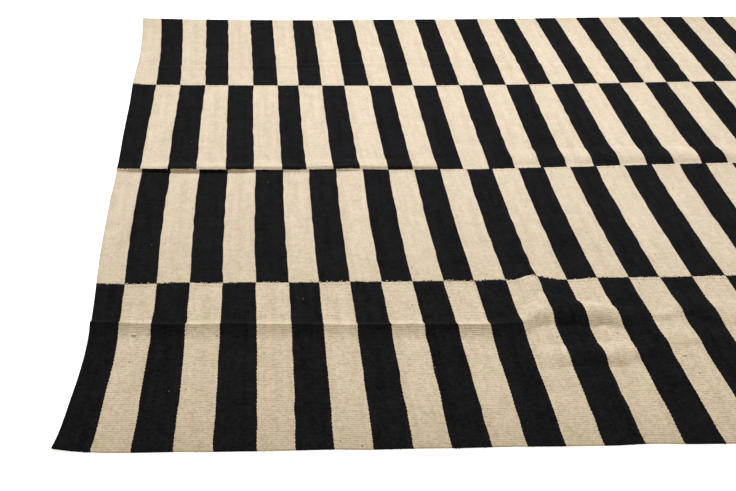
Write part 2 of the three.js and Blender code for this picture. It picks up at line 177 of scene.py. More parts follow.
BACK_CREASE = (
    (0, 1600, 2.5, 26, 13, 0.7), (200, 1603, 3, 26, 13, 0.7), (400, 1604, 3.5, 28, 13, 0.8),
    (560, 1610, 3, 28, 14, 0.7), (745, 1616, 3.5, 28, 14, 0.8), (900, 1620, 3, 28, 14, 0.7),
    (1060, 1614, 2.5, 30, 16, 0.4), (1300, 1604, 2.5, 34, 20, 0.3), (2000, 1606, 2.5, 34, 20, 0.3),
    (2700, 1606, 0, 34, 20, 0.3),
)
BACK_SWELL = (
    (0, 1650, 1.5, 34, 70, 0), (300, 1656, 2.5, 36, 70, 0), (560, 1664, 2, 38, 70, 0),
    (745, 1668, 3, 34, 70, 0), (900, 1670, 2.5, 36, 70, 0), (1100, 1664, 2, 40, 70, 0),
    (1700, 1660, 2, 44, 80, 0), (2600, 1660, 0, 44, 80, 0),
)

# The folds that follow the middle seam, where y is how far the crest lies behind the seam's line: the
# lip where both panels are pushed up, with straight sides, and the swell behind it
LIP_POWER = 1
SEAM_LIP = (
    (0, 0, 5.5, 8, 40, 1), (60, 0, 7.5, 7, 40, 1), (110, 0, 10, 6.5, 40, 1),
    (210, 0, 10.5, 6.5, 40, 1), (362, 0, 9, 6, 38, 1), (420, 0, 6, 5.5, 34, 1),
    (540, 0, 4, 5, 26, 1), (600, 0, 4.2, 5.5, 24, 1), (668, 0, 5.5, 5, 22, 1),
    (705, 0, 3.6, 5.5, 20, 1), (745, 0, 2.4, 6, 16, 1), (820, 0, 1.8, 6, 14, 1),
    (920, 0, 1.2, 6, 14, 1), (1040, 0, 0, 6, 14, 1),
)
SEAM_SWELL = (
    (40, 14, 0, 13, 42, 0), (134, 14, 4, 12.5, 42, 0), (286, 13, 5.5, 12, 44, 0),
    (439, 13, 6.5, 12, 44, 0), (592, 13, 6.5, 11.5, 44, 0), (745, 13, 7, 11.5, 44, 0),
    (898, 13, 6.5, 11.5, 42, 0), (960, 14, 2.5, 12, 42, 0), (1010, 15, 0, 13, 42, 0),
)
SEAM_FOLDS = (SEAM_LIP, SEAM_SWELL)

# The front left corner's curl
CORNER_CURL = 4
CURL_REACH = 75

# Name, the lines and drifts at its front and back, how far its stripes bow to the right, and its folds
PANELS = (
    (
        "panel_1", FRONT_EDGE, FIRST_SEAM, FRONT_DRIFT, FIRST_DRIFT, 1,
        (LONG_CREASE, LOW_RIPPLE, SEAM_BUMP),
    ),
    (
        "panel_2", FIRST_SEAM, MIDDLE_SEAM, FIRST_DRIFT, MIDDLE_DRIFT, -3.2,
        (SEAM_BUMP, BEFORE_MIDDLE_SEAM, SEAM_LIP),
    ),
    (
        "panel_3", MIDDLE_SEAM, LAST_SEAM, MIDDLE_DRIFT_BEHIND, LAST_DRIFT, -1.5,
        (BEHIND_MIDDLE_SEAM, SEAM_SWELL, SEAM_LIP),
    ),
    ("panel_4", LAST_SEAM, BACK_EDGE, LAST_DRIFT, BACK_DRIFT, 0.5, (BACK_CREASE, BACK_SWELL)),
)
CURLED_PANEL = 0

# The weave's relief and the cloth's unevenness
RIB_COUNT = 98
RIB_PITCH = 5  # about, to size the patches in which ribs wander
ROWS_A_RIB = 4
RIB_RELIEF = 0.1
RIB_WANDER = 0.9
RIB_UNEVENNESS = 0.8
SLUB = 0.9
STRIPE_WANDER = 1.3
LOFT = 0.7  # how far the cloth lies off the floor where it doesn't lie quite flat
EDGE_ROUND = 3
EDGE_THICKNESS = 0.45  # the share of the cloth's thickness that is left at its very edge

# The patches in which each unevenness comes: their length along the rug, depth across it and seed.
# The depth is in ribs for single ribs and slubs.
WANDER_PATCHES = (90, 22, 30)
UNEVENNESS_PATCHES = (130, 1.6, 34)
SLUB_PATCHES = (14, 1, 40)
STRIPE_PATCHES = (60, 34, 50)
LOFT_RUFFLES = (170, 60, 11)
LOFT_FIELDS = (320, 210, 12)
SPARE_PATCHES = 4  # for places that lie a little past the rug's sides

# Columns, in stretches of (last stripe, columns a stripe), and the distances of those by the hems
COLUMN_STRETCHES = ((12, 5), (19, 8), (STRIPE_COUNT, 4))
HEM_COLUMNS = (0.7, 1.6, EDGE_ROUND, HEM_WIDTH - HEM_STEP, HEM_WIDTH)
UNDERSIDE_ROWS = 8
UNDERSIDE_COLUMNS = 4
SHARP_ANGLE = math.radians(60)


def along(table, place, column=1):
    """A column of a table at each place, on a smooth curve through its rows."""
    rows = np.array(table, float)
    key = rows[:, 0]
    value = rows[:, column]
    last = len(key) - 1
    place = np.clip(place, key[0], key[-1])
    end = np.clip(np.searchsorted(key, place, side="right"), 1, last)
    start = end - 1
    before = np.maximum(start - 1, 0)
    after = np.minimum(end + 1, last)
    width = key[end] - key[start]
    t = (place - key[start]) / width
    start_slope = (value[end] - value[before]) / (key[end] - key[before]) * width
    end_slope = (value[after] - value[start]) / (key[after] - key[start]) * width
    return (
        (2 * t**3 - 3 * t**2 + 1) * value[start]
        + (t**3 - 2 * t**2 + t) * start_slope
        + (3 * t**2 - 2 * t**3) * value[end]
        + (t**3 - t**2) * end_slope
    )


def smooth(share):
    """0 to 1, easing in and out."""
    share = np.clip(share, 0, 1)
    return share * share * (3 - 2 * share)


def patches(x, y, length, depth, seed, panel=0):
    """Smooth unevenness from -1 to 1, in patches of about that size."""
    column = x / length + 1
    row = y / depth + 1
    shape = (int(RUG_WIDTH / depth) + SPARE_PATCHES, int(RUG_LENGTH / length) + SPARE_PATCHES)
    heights = np.random.default_rng(seed + panel).uniform(-1, 1, shape)
    i = np.floor(row).astype(int)
    j = np.floor(column).astype(int)
    s = smooth(row - i)
    t = smooth(column - j)
    near = heights[i, j] * (1 - t) + heights[i, j + 1] * t
    far = heights[i + 1, j] * (1 - t) + heights[i + 1, j + 1] * t
    return near * (1 - s) + far * s


def drift_line(table, seed):
    """How far each stripe's left side lies off its even place, strayed past the table's rows."""
    stripes = np.arange(STRIPE_COUNT + 1)
    rows = np.array(table, float)
    off = np.interp(stripes, rows[:, 0], rows[:, 1])
    unseen = stripes > rows[-1, 0]
    off[unseen] *= np.linspace(1, 0, unseen.sum())
    strays = np.random.default_rng(seed).normal(0, UNSEEN_DRIFT, STRIPE_COUNT + 1)
    off[unseen] += strays[unseen]
    off[-1] = 0
    return off


DRIFTS = {
    table: drift_line(table, DRIFT_SEED + i)
    for i, table in enumerate(
        (FRONT_DRIFT, FIRST_DRIFT, MIDDLE_DRIFT, MIDDLE_DRIFT_BEHIND, LAST_DRIFT, BACK_DRIFT)
    )
}


def crest_place(fold, x):
    """Where a fold's crest lies across the rug."""
    if fold not in SEAM_FOLDS:
        return along(fold, x)
    return FRONT_LINE + 2 * PANEL_DEPTH + along(MIDDLE_SEAM, x) + along(fold, x)


def fold_lift(fold, x, y):
    """How far a fold lifts the cloth at each place."""
    distance = y - crest_place(fold, x)
    reach = np.where(distance < 0, along(fold, x, FRONT), along(fold, x, BACK))
    share = np.clip(np.abs(distance) / reach, 0, 1)
    sharp = along(fold, x, SHARP)
    power = LIP_POWER if fold is SEAM_LIP else PRESSED_POWER
    shape = sharp * (1 - share) ** power + (1 - sharp) * (1 - share**2) ** ROUND_POWER
    height = np.maximum(0, along(fold, x, HEIGHT)) * shape
    return np.where((x < fold[0][0]) | (x > fold[-1][0]), 0, height)


def cloth(index, stripe, share):
    """Where places on a panel lie: x, y, the height of the underside, and the cloth's thickness."""
    _, front, back, front_drift, back_drift, bow, folds = PANELS[index]
    stripes = np.arange(STRIPE_COUNT + 1)
    near = np.interp(stripe, stripes, DRIFTS[front_drift])
    far = np.interp(stripe, stripes, DRIFTS[back_drift])
    even = SIDE_LINE + stripe * STRIPE_WIDTH
    held = np.minimum(1, np.minimum(stripe, STRIPE_COUNT - stripe))
    x = even + near * (1 - share) + far * share + 4 * bow * share * (1 - share) * held

    front_line = FRONT_LINE + index * PANEL_DEPTH
    front_gap = SEAM_GAP / 2 if index > 0 else 0
    back_gap = SEAM_GAP / 2 if index < len(PANELS) - 1 else 0
    front_y = front_line + along(front, x) + front_gap
    back_y = front_line + PANEL_DEPTH + along(back, x) - back_gap
    y = front_y + (back_y - front_y) * share

    low = sum(fold_lift(fold, x, y) for fold in folds)
    if index == CURLED_PANEL:
        inward = np.maximum(0, 1 - np.hypot(x - SIDE_LINE, y - front_y) / CURL_REACH)
        low = low + CORNER_CURL * inward**2
    ruffles = smooth(0.5 + 0.5 * patches(x, y, *LOFT_RUFFLES))
    low = low + LOFT * ruffles * smooth(patches(x, y, *LOFT_FIELDS))

    from_end = np.minimum(even - SIDE_LINE, SIDE_LINE + STRIPE_COUNT * STRIPE_WIDTH - even)
    past_hem = smooth((from_end - HEM_WIDTH + HEM_STEP) / HEM_STEP)
    thickness = CLOTH_THICKNESS + HEM_LAYER * (1 - past_hem)
    left_shift = along(LEFT_END, y) - SIDE_LINE
    left = left_shift * np.maximum(0, 1 - (x - SIDE_LINE) / END_REACH) ** 2
    far_end = SIDE_LINE + STRIPE_COUNT * STRIPE_WIDTH
    right_shift = RUG_LENGTH - along(RIGHT_END, y) - far_end
    right = right_shift * np.maximum(0, 1 - (far_end - x) / END_REACH) ** 2
    return x + left + right, y, low, thickness


def column_stripes():
    """The stripe places of a panel's columns, closest together over the ripple and by the hems."""
    places = [0]
    for last, a_stripe in COLUMN_STRETCHES:
        first = places[-1]
        places += [first + i / a_stripe for i in range(1, round((last - first) * a_stripe) + 1)]
    for distance in HEM_COLUMNS:
        places += [distance / STRIPE_WIDTH, STRIPE_COUNT - distance / STRIPE_WIDTH]
    return np.array(sorted(places))


def panel_points(index, stripe, rib):
    """A panel's top, ribbed and rounded off at its edges, and its underside, at these places on it."""
    wander = RIB_WANDER * patches(stripe * STRIPE_WIDTH, rib * RIB_PITCH, *WANDER_PATCHES, index)
    uneven = RIB_UNEVENNESS * patches(stripe * STRIPE_WIDTH, rib, *UNEVENNESS_PATCHES, index)
    held = np.sin(np.pi * rib / RIB_COUNT)
    share = rib / RIB_COUNT + (wander + uneven) * held / PANEL_DEPTH
    x, y, low, thickness = cloth(index, stripe, share)
    from_end = np.minimum(stripe, STRIPE_COUNT - stripe) * STRIPE_WIDTH
    x = x + STRIPE_WANDER * patches(x, y, *STRIPE_PATCHES) * np.minimum(1, from_end / STRIPE_WIDTH)
    from_edge = np.minimum(rib, RIB_COUNT - rib) * PANEL_DEPTH / RIB_COUNT
    round_off = 1 - np.clip(np.minimum(from_end, from_edge) / EDGE_ROUND, 0, 1)
    edge = EDGE_THICKNESS + (1 - EDGE_THICKNESS) * np.sqrt(1 - round_off**2)
    slub = 1 + SLUB * patches(stripe * STRIPE_WIDTH, rib, *SLUB_PATCHES, index)
    ridge = RIB_RELIEF * slub * (np.abs(np.sin(np.pi * rib)) - 1)
    top = np.stack([x, y, low + thickness * edge + ridge * (1 - round_off)], -1)
    under = np.stack([x, y, low], -1)
    middle = (RUG_LENGTH / 2, RUG_WIDTH / 2, 0)
    return top - middle, under - middle


def grid_faces(number, flip):
    """The faces of a grid of numbered points, facing up or, flipped, down."""
    a = number[:-1, :-1]
    b = number[:-1, 1:]
    c = number[1:, 1:]
    d = number[1:, :-1]
    corners = (a, d, c, b) if flip else (a, b, c, d)
    return np.stack([corner.ravel() for corner in corners], -1).tolist()


def rim_faces(above, below, stops, flip):
    """The faces that join a side of the top to the underside, which has points at the stops alone."""
    faces = []
    for k in range(len(stops) - 1):
        over = above[stops[k] : stops[k + 1] + 1].tolist()
        face = [int(below[k]), int(below[k + 1])] + over[::-1]
        faces.append(face[::-1] if flip else face)
    return faces


def add_weave_map(mesh, weave):
    """A UV map of where each point lies in the weave: its stripe and its rib."""
    corner_points = np.empty(len(mesh.loops), int)
    mesh.loops.foreach_get("vertex_index", corner_points)
    layer = mesh.uv_layers.new(name="weave")
    layer.data.foreach_set("uv", weave[corner_points].ravel())


def panel_mesh(index):
    """One panel as a closed sheet, its underside coarser than its top."""
    rows = np.arange(RIB_COUNT * ROWS_A_RIB + 1) / ROWS_A_RIB
    stripe, rib = np.meshgrid(column_stripes(), rows)
    top, under = panel_points(index, stripe, rib)
    weave = np.stack([stripe + index % 2, rib], -1)
    row_count, column_count = stripe.shape
    under_rows = np.append(np.arange(0, row_count - 1, UNDERSIDE_ROWS), row_count - 1)
    under_columns = np.append(np.arange(0, column_count - 1, UNDERSIDE_COLUMNS), column_count - 1)
    under_grid = np.ix_(under_rows, under_columns)
    points = np.concatenate([top.reshape(-1, 3), under[under_grid].reshape(-1, 3)])
    weave = np.concatenate([weave.reshape(-1, 2), weave[under_grid].reshape(-1, 2)])
    upper = np.arange(row_count * column_count).reshape(row_count, column_count)
    lower = upper.size + np.arange(len(under_rows) * len(under_columns))
    lower = lower.reshape(len(under_rows), len(under_columns))
    faces = grid_faces(upper, False) + grid_faces(lower, True)
    faces += rim_faces(upper[0], lower[0], under_columns, False)
    faces += rim_faces(upper[-1], lower[-1], under_columns, True)
    faces += rim_faces(upper[:, 0], lower[:, 0], under_rows, True)
    faces += rim_faces(upper[:, -1], lower[:, -1], under_rows, False)
    mesh = bpy.data.meshes.new(PANELS[index][0] + "_cloth")
    mesh.from_pydata((points * MM).tolist(), [], faces)
    add_weave_map(mesh, weave)
    mesh.shade_smooth()
    mesh.set_sharp_from_angle(angle=SHARP_ANGLE)
    return mesh


# The cloth's wool: the steps that build its nodes, a node group for each effect, and the material

def feed(tree, socket, value):
    """Link a socket to another one, or set it to a number or a colour."""
    if isinstance(value, bpy.types.NodeSocket):
        tree.links.new(value, socket)
    elif isinstance(value, tuple):
        socket.default_value = (*value, 1)
    else:
        socket.default_value = value


def compute(tree, operation, *values):
    """A math node of these sockets and numbers."""
    node = tree.nodes.new("ShaderNodeMath")
    node.operation = operation
    for socket, value in zip(node.inputs, values):
        feed(tree, socket, value)
    return node.outputs[0]


def clamp(tree, value):
    """A value held between 0 and 1."""
    node = tree.nodes.new("ShaderNodeClamp")
    feed(tree, node.inputs["Value"], value)
    return node.outputs[0]


def split(tree, vector):
    """The X and Y of a vector."""
    node = tree.nodes.new("ShaderNodeSeparateXYZ")
    feed(tree, node.inputs[0], vector)
    return node.outputs["X"], node.outputs["Y"]


def join(tree, x, y, z=0.0):
    """A vector of two or three values."""
    node = tree.nodes.new("ShaderNodeCombineXYZ")
    for socket, value in zip(node.inputs, (x, y, z)):
        feed(tree, socket, value)
    return node.outputs[0]


def speckle(tree, vector, dimensions="2D"):
    """A random value from 0 to 1 for each different place."""
    node = tree.nodes.new("ShaderNodeTexWhiteNoise")
    node.noise_dimensions = dimensions
    feed(tree, node.inputs["Vector"], vector)
    return node.outputs["Value"]


FIRST_COLOUR, SECOND_COLOUR, MIXED_COLOUR = 6, 7, 2  # a Mix node's sockets for colours


def blend_colour(tree, mode, factor, first, second):
    """A colour mix node."""
    node = tree.nodes.new("ShaderNodeMix")
    node.data_type = "RGBA"
    node.blend_type = mode
    feed(tree, node.inputs["Factor"], factor)
    feed(tree, node.inputs[FIRST_COLOUR], first)
    feed(tree, node.inputs[SECOND_COLOUR], second)
    return node.outputs[MIXED_COLOUR]


def new_group(name, inputs, outputs):
    """An empty node group with these named sockets, and its input and output nodes."""
    tree = bpy.data.node_groups.new(name, "ShaderNodeTree")
    for label, kind in inputs.items():
        tree.interface.new_socket(label, in_out="INPUT", socket_type="NodeSocket" + kind)
    for label, kind in outputs.items():
        tree.interface.new_socket(label, in_out="OUTPUT", socket_type="NodeSocket" + kind)
    return tree, tree.nodes.new("NodeGroupInput"), tree.nodes.new("NodeGroupOutput")


def place_group(tree, group, **values):
    """A node group set in a material or another group, with its named inputs linked or set."""
    node = tree.nodes.new("ShaderNodeGroup")
    node.node_tree = group
    for label, value in values.items():
        feed(tree, node.inputs[label], value)
    return node


def uneven_wool():
    """Soft noise around 0, stretched to its scales along the stripes and across them."""
    inputs = {"Place": "Vector"} | dict.fromkeys(("Along", "Across", "Detail", "Seed"), "Float")
    tree, given, made = new_group("uneven wool", inputs, {"Tone": "Float"})
    x, y = split(tree, given.outputs["Place"])
    x = compute(tree, "MULTIPLY", x, given.outputs["Along"])
    y = compute(tree, "MULTIPLY", y, given.outputs["Across"])
    noise = tree.nodes.new("ShaderNodeTexNoise")
    noise.inputs["Scale"].default_value = 1
    noise.inputs["Roughness"].default_value = 0.6
    feed(tree, noise.inputs["Vector"], join(tree, x, y, given.outputs["Seed"]))
    feed(tree, noise.inputs["Detail"], given.outputs["Detail"])
    feed(tree, made.inputs["Tone"], compute(tree, "SUBTRACT", noise.outputs["Fac"], 0.5))
    return tree


UNEVEN_WOOL = uneven_wool()


def mottle(tree, place, along_scale, across_scale, detail, seed):
    """The uneven wool set in a tree with these scales, and its tone."""
    node = place_group(
        tree, UNEVEN_WOOL, Place=place, Along=along_scale, Across=across_scale, Detail=detail, Seed=seed
    )
    return node.outputs["Tone"]


BEADS_A_STRIPE = 33.0  # how often the weft comes over a warp across one stripe
BEAD_WALL = 0.5


def weft_beads():
    """Where each short oval of weft lies over its rib: its middle, and how high it stands."""
    outputs = {"Bead": "Vector", "Height": "Float"}
    tree, given, made = new_group("weft beads", {"Weave": "Vector"}, outputs)
    stripe, rib = split(tree, given.outputs["Weave"])
    rib_number = compute(tree, "FLOOR", rib)
    half = compute(tree, "MULTIPLY", compute(tree, "MODULO", rib_number, 2.0), 0.5)
    picks = compute(tree, "MULTIPLY_ADD", stripe, BEADS_A_STRIPE, half)
    bead_number = compute(tree, "FLOOR", picks)
    middle = compute(tree, "SUBTRACT", compute(tree, "ADD", bead_number, 0.5), half)
    middle = compute(tree, "DIVIDE", middle, BEADS_A_STRIPE)
    side = compute(tree, "SINE", compute(tree, "MULTIPLY", compute(tree, "FRACT", picks), math.pi))
    crown = compute(tree, "SINE", compute(tree, "MULTIPLY", compute(tree, "FRACT", rib), math.pi))
    side = compute(tree, "POWER", side, BEAD_WALL)
    crown = compute(tree, "POWER", crown, BEAD_WALL)
    feed(tree, made.inputs["Bead"], join(tree, middle, rib_number))
    feed(tree, made.inputs["Height"], compute(tree, "MULTIPLY", side, crown))
    return tree


# Each unevenness of the wool is a row of (scale along, scale across, detail, seed)
SHORT_DASHES = (13.0, 1.37, 1.0, 23.0)
LONG_DASHES = (5.3, 0.61, 2.0, 29.0)
DASH_CONTRAST = 5.0
DASH_LEVEL = 0.35
GAP_SHARPNESS = 2.5
EDGE_GROOVE = 2.0  # the rib gap beside the doubled warps of either edge, painted with deeper shade
EDGE_GROOVE_DEPTH = 0.06


def rib_gaps():
    """Painted shade between ribs in thin lines, broken into uneven dashes, a deeper one near each edge.
    """
    tree, given, made = new_group("rib gaps", {"Weave": "Vector"}, {"Gap": "Float"})
    stripe, rib = split(tree, given.outputs["Weave"])
    gap_number = compute(tree, "ROUND", rib)
    from_gap = compute(tree, "ABSOLUTE", compute(tree, "SUBTRACT", rib, gap_number))
    line = compute(tree, "MULTIPLY_ADD", from_gap, -2.0, 1.0)
    line = compute(tree, "POWER", line, GAP_SHARPNESS)
    place = join(tree, stripe, gap_number)
    dashes = compute(tree, "ADD", mottle(tree, place, *SHORT_DASHES), mottle(tree, place, *LONG_DASHES))
    from_back = compute(tree, "SUBTRACT", float(RIB_COUNT), gap_number)
    from_edge = compute(tree, "MINIMUM", gap_number, from_back)
    groove = compute(tree, "COMPARE", from_edge, EDGE_GROOVE, 0.5)
    dashes = compute(tree, "MULTIPLY_ADD", groove, EDGE_GROOVE_DEPTH, dashes)
    depth = clamp(tree, compute(tree, "MULTIPLY_ADD", dashes, DASH_CONTRAST, DASH_LEVEL))
    feed(tree, made.inputs["Gap"], compute(tree, "MULTIPLY", line, depth))
    return tree


def band_colours():
    """Which bands of weft are cream, with edges that step a little from rib to rib."""
    inputs = {"Weave": "Vector", "Step": "Float"}
    tree, given, made = new_group("weft bands", inputs, {"Cream": "Float"})
    stripe, rib = split(tree, given.outputs["Weave"])
    rib_number = compute(tree, "FLOOR", rib)
    side = compute(tree, "SUBTRACT", compute(tree, "MODULO", rib_number, 2.0), 0.5)
    strength = speckle(tree, join(tree, compute(tree, "ROUND", stripe), rib_number))
    step = compute(tree, "MULTIPLY", side, strength)
    step = compute(tree, "MULTIPLY", step, given.outputs["Step"])
    place = compute(tree, "MULTIPLY", compute(tree, "ADD", stripe, step), 0.5)
    cream = compute(tree, "GREATER_THAN", compute(tree, "FRACT", place), 0.5)
    feed(tree, made.inputs["Cream"], cream)
    return tree


PICK_UNEVENNESS = (17.3, 0.037, 1.0, 3.0)
SLUB_UNEVENNESS = (5.3, 1.37, 1.0, 11.0)
SKEIN_UNEVENNESS = (4.1, 0.0123, 2.0, 7.0)
PATCH_UNEVENNESS = (2.3, 0.113, 3.0, 17.0)
PICK_STRENGTH = 0.5
SLUB_STRENGTH = 1.1
GRAIN_STRENGTH = 0.4
SKEIN_STRENGTH = 0.45
PATCH_STRENGTH = 0.5


def yarn_tone():
    """How light the yarn is: from pick to pick and bead to bead, and broadly in skeins and patches."""
    outputs = {"Fine": "Float", "Broad": "Float"}
    tree, given, made = new_group("yarn tone", {"Bead": "Vector"}, outputs)
    bead = given.outputs["Bead"]
    grain = compute(tree, "SUBTRACT", speckle(tree, bead), 0.5)
    fine = compute(tree, "MULTIPLY", mottle(tree, bead, *PICK_UNEVENNESS), PICK_STRENGTH)
    fine = compute(tree, "MULTIPLY_ADD", mottle(tree, bead, *SLUB_UNEVENNESS), SLUB_STRENGTH, fine)
    fine = compute(tree, "MULTIPLY_ADD", grain, GRAIN_STRENGTH, fine)
    broad = compute(tree, "MULTIPLY", mottle(tree, bead, *SKEIN_UNEVENNESS), SKEIN_STRENGTH)
    broad = compute(tree, "MULTIPLY_ADD", mottle(tree, bead, *PATCH_UNEVENNESS), PATCH_STRENGTH, broad)
    feed(tree, made.inputs["Fine"], fine)
    feed(tree, made.inputs["Broad"], broad)
    return tree


FLECK_SEED = 4.7


def flecks():
    """The few beads of weft that hold a fleck of another wool."""
    inputs = {"Bead": "Vector", "Share": "Float"}
    tree, given, made = new_group("flecks", inputs, {"Fleck": "Float"})
    stripe, rib = split(tree, given.outputs["Bead"])
    chance = speckle(tree, join(tree, stripe, rib, FLECK_SEED), "3D")
    fleck = compute(tree, "LESS_THAN", chance, given.outputs["Share"])
    feed(tree, made.inputs["Fleck"], fleck)
    return tree


# Two ramps towards the front. The first paints a warmer light over the front panel and deepens the
# painted shade in the rib gaps, the second darkens the front edge. In rows of (name, metres before
# the middle where it starts, over how many metres it grows, and the power that holds it back at first)
FRONT_RAMP_ROWS = (("Front ramp", 0.3, 0.35, 1.0), ("Front edge ramp", 0.84, 0.16, 1.5))


def front_ramps():
    """The front panel's painted warmer light at each place, and how far its front edge has darkened."""
    outputs = {"Front ramp": "Float", "Front edge ramp": "Float"}
    tree, given, made = new_group("front ramps", {"Place": "Vector"}, outputs)
    _, y = split(tree, given.outputs["Place"])
    forward = compute(tree, "MULTIPLY", y, -1.0)
    for label, start, reach, power in FRONT_RAMP_ROWS:
        share = compute(tree, "DIVIDE", compute(tree, "SUBTRACT", forward, start), reach)
        feed(tree, made.inputs[label], compute(tree, "POWER", clamp(tree, share), power))
    return tree


BEADS = weft_beads()
GAPS = rib_gaps()
BANDS = band_colours()
TONE = yarn_tone()
FLECKS = flecks()
FRONT_RAMPS = front_ramps()
CREAM_DARK = (0.477, 0.377, 0.26)
CREAM_LIGHT = (0.69, 0.588, 0.445)
CREAM_FINE, CREAM_BROAD = 0.42, 1.5  # how much the yarn's fine and broad unevenness lighten it
BLACK_DARK = (0.0027, 0.0027, 0.0030)
BLACK_LIGHT = (0.0113, 0.0112, 0.0118)
BLACK_BROAD = 2.0
PINKISH = (1.03, 0.99, 1.027)
YELLOWISH = (0.98, 1.018, 0.967)
TINT_UNEVENNESS = (1.3, 0.09, 2.0, 37.0)
TINT_CONTRAST = 2.2
# A painted warmer light over the front panel
FRONT_WARM_LIGHT = (1.0, 0.992, 0.955)
# Darker towards the front edge
FRONT_EDGE_DARKENING = (0.88, 0.87, 0.85)
CREAM_FLECK = (0.20, 0.14, 0.09)
BLACK_FLECK = (0.08, 0.075, 0.07)
CREAM_FLECKS, BLACK_FLECKS = 0.0004, 0.00012  # the share of the beads that hold one
BAND_STEP = 0.014
BEAD_SHADE_DEPTH, BEAD_SHADE_LEVEL = 0.10, 0.94
GAP_SHADOW = (0.2, 0.12, 0.0)
GAP_SHADE_FRONT, GAP_SHADE_BASE = 0.27, 0.28  # painted shade in the rib gaps: its gain towards the front, and its base depth


def striped_wool():
    """The panels' cloth: cream and black wool weft over ribs, beaten close."""
    material = bpy.data.materials.new("striped wool")
    material.use_nodes = True
    tree = material.node_tree
    shader = tree.nodes["Principled BSDF"]
    map_node = tree.nodes.new("ShaderNodeUVMap")
    map_node.uv_map = "weave"
    weave = map_node.outputs[0]
    beads = place_group(tree, BEADS, Weave=weave)
    bead, height = beads.outputs["Bead"], beads.outputs["Height"]
    tone = place_group(tree, TONE, Bead=bead)
    fine, broad = tone.outputs["Fine"], tone.outputs["Broad"]
    ramps = place_group(tree, FRONT_RAMPS, Place=tree.nodes.new("ShaderNodeTexCoord").outputs["Object"])

    cream_tone = compute(tree, "MULTIPLY_ADD", broad, CREAM_BROAD, 0.5)
    cream_tone = compute(tree, "MULTIPLY_ADD", fine, CREAM_FINE, cream_tone)
    cream = blend_colour(tree, "MIX", cream_tone, CREAM_DARK, CREAM_LIGHT)
    tint = compute(tree, "MULTIPLY_ADD", mottle(tree, weave, *TINT_UNEVENNESS), TINT_CONTRAST, 0.5)
    tint = blend_colour(tree, "MIX", tint, PINKISH, YELLOWISH)
    cream = blend_colour(tree, "MULTIPLY", 1.0, cream, tint)
    # The painted warmer light towards the front
    cream = blend_colour(tree, "MULTIPLY", ramps.outputs["Front ramp"], cream, FRONT_WARM_LIGHT)
    # Darker towards the front edge
    cream = blend_colour(tree, "MULTIPLY", ramps.outputs["Front edge ramp"], cream, FRONT_EDGE_DARKENING)
    fleck = place_group(tree, FLECKS, Bead=bead, Share=CREAM_FLECKS).outputs["Fleck"]
    cream = blend_colour(tree, "MIX", fleck, cream, CREAM_FLECK)

    black_tone = compute(tree, "MULTIPLY_ADD", broad, BLACK_BROAD, fine)
    black_tone = compute(tree, "ADD", black_tone, 0.5)
    black = blend_colour(tree, "MIX", black_tone, BLACK_DARK, BLACK_LIGHT)
    fleck = place_group(tree, FLECKS, Bead=bead, Share=BLACK_FLECKS).outputs["Fleck"]
    black = blend_colour(tree, "MIX", fleck, black, BLACK_FLECK)

    bands = place_group(tree, BANDS, Weave=weave, Step=BAND_STEP)
    colour = blend_colour(tree, "MIX", bands.outputs["Cream"], black, cream)
    shade = compute(tree, "MULTIPLY_ADD", height, BEAD_SHADE_DEPTH, BEAD_SHADE_LEVEL)
    colour = blend_colour(tree, "MULTIPLY", 1.0, colour, join(tree, shade, shade, shade))
    # Painted shade between the ribs, deeper towards the front
    gap_shade = compute(tree, "MULTIPLY_ADD", ramps.outputs["Front ramp"], GAP_SHADE_FRONT, GAP_SHADE_BASE)
    gaps = place_group(tree, GAPS, Weave=weave)
    gap = compute(tree, "MULTIPLY", gaps.outputs["Gap"], gap_shade)
    colour = blend_colour(tree, "MULTIPLY", gap, colour, GAP_SHADOW)
    feed(tree, shader.inputs["Base Color"], colour)

    shader.inputs["Roughness"].default_value = 0.9
    shader.inputs["Specular IOR Level"].default_value = 0.03
    shader.inputs["Sheen Weight"].default_value = 0.009
    shader.inputs["Sheen Roughness"].default_value = 0.5
    bump = tree.nodes.new("ShaderNodeBump")
    bump.inputs["Distance"].default_value = 0.0004
    feed(tree, bump.inputs["Height"], height)
    feed(tree, shader.inputs["Normal"], bump.outputs["Normal"])
    return material


STRIPED_WOOL = striped_wool()
for index, (name, *_) in enumerate(PANELS):
    panel = bpy.data.objects.new(name + "_cloth", panel_mesh(index))
    bpy.context.scene.collection.objects.link(panel)
    panel.data.materials.append(STRIPED_WOOL)
    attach(panel, "root")
    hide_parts(name)


# The selvedges
# Along both long sides of every panel the weft turns back round the outermost warps, in small
# uneven loops that stand a little past the cloth, each in the colour of its band.

LOOP_PITCH = 5.9
LOOP_UNEVENNESS = 0.3
LOOP_STEPS = 5
LOOP_SIDES = 5
LOOP_INSET = 0.8
LOOP_RADIUS = 1
LOOP_SWELL = 0.9
LOOP_FLATNESS = 0.85
LOOP_FULLNESS = 0.8
LOOP_SEED = 60
LOOP_MARGIN = 1.5  # how far from the ends the first and the last loop lie

# How far single loops and the loops of a group stand out, as shares of the selvedge's reach
LOOP_STRENGTHS = (0.1, 1)
LOOP_STRENGTH_POWER = 1.5
GROUP_STRENGTHS = (0.6, 1.2)
LOOPS_A_GROUP = 3

# Where along the rug the selvedges' reach goes over from its left value to its right one
REACH_CHANGE_START = 800
REACH_CHANGE_LENGTH = 700

# Panel, side (0 front, 1 back), how far the loops stand out at the left and at the right, and lift
SELVEDGES = (
    (0, 0, 0.9, 0.6, 0.0), (0, 1, 4.2, 1.2, 1.4),
    (1, 0, 0.3, 0.3, -0.3), (1, 1, 3.6, 0.7, 0.2),
    (2, 0, 0.4, 0.6, -0.3), (2, 1, 1.4, 1.1, 0.5),
    (3, 0, 0.5, 0.5, 0.0), (3, 1, 0.7, 0.7, 0.0),
)


